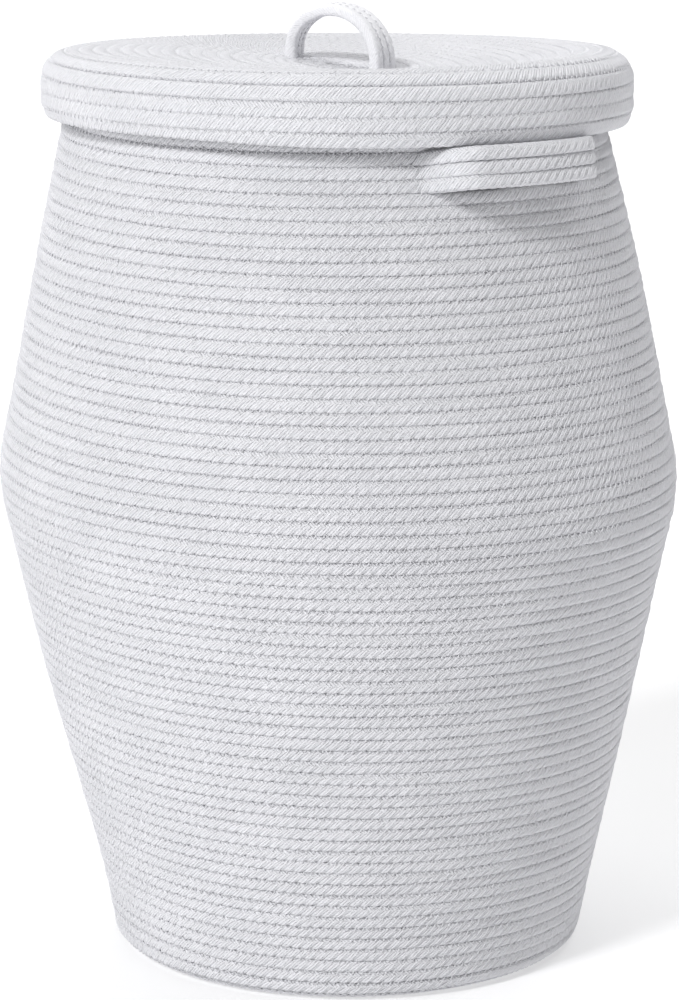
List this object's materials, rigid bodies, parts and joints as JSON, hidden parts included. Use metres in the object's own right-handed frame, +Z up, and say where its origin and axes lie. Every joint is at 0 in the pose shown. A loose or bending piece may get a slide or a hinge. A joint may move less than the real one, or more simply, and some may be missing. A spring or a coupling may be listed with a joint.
{
  "type": "laundry hamper with lid",
  "caption": "Barrel-shaped laundry hamper of sewn cotton rope, with carrying handles bowed out of the wall and a lift-off cap lid with a rope loop.",
  "frame": {"origin": "centre of the base's underside, on the floor that the hamper stands on", "axes": "+Z up along the hamper's axis; +X out through the middle of the right carrying handle; +Y towards the rear wall between the handles"},
  "size_m": [0.436, 0.436, 0.6134],
  "materials": {
    "basket_rope": "braided white cotton rope, matt",
    "handle_rope": "braided white cotton rope, matt",
    "lid_rope": "braided white cotton rope, matt",
    "loop_rope": "braided white cotton rope, matt"
  },
  "bodies": {
    "basket": {"base_spiral": "basket_rope", "foot_rows": "basket_rope", "lower_wall_rows": "basket_rope", "belly_rows": "basket_rope", "upper_wall_rows": "basket_rope", "rear_wall_rows_between_handles": "basket_rope", "front_wall_rows_between_handles": "basket_rope", "rim_rows": "basket_rope", "right_handle_bottom_rope": "handle_rope", "right_handle_middle_rope": "handle_rope", "right_handle_top_rope": "handle_rope", "left_handle_bottom_rope": "handle_rope", "left_handle_middle_rope": "handle_rope", "left_handle_top_rope": "handle_rope"},
    "lid": {"lid_top_spiral": "lid_rope", "lid_skirt_rows": "lid_rope", "lid_loop_front_rope": "loop_rope", "lid_loop_middle_rope": "loop_rope", "lid_loop_back_rope": "loop_rope"}
  },
  "joints": [
    {"name": "lid_lift", "type": "slide", "parent": "basket", "child": "lid", "axis": [0, 0, 1], "range_m": [0, 0.12]}
  ]
}
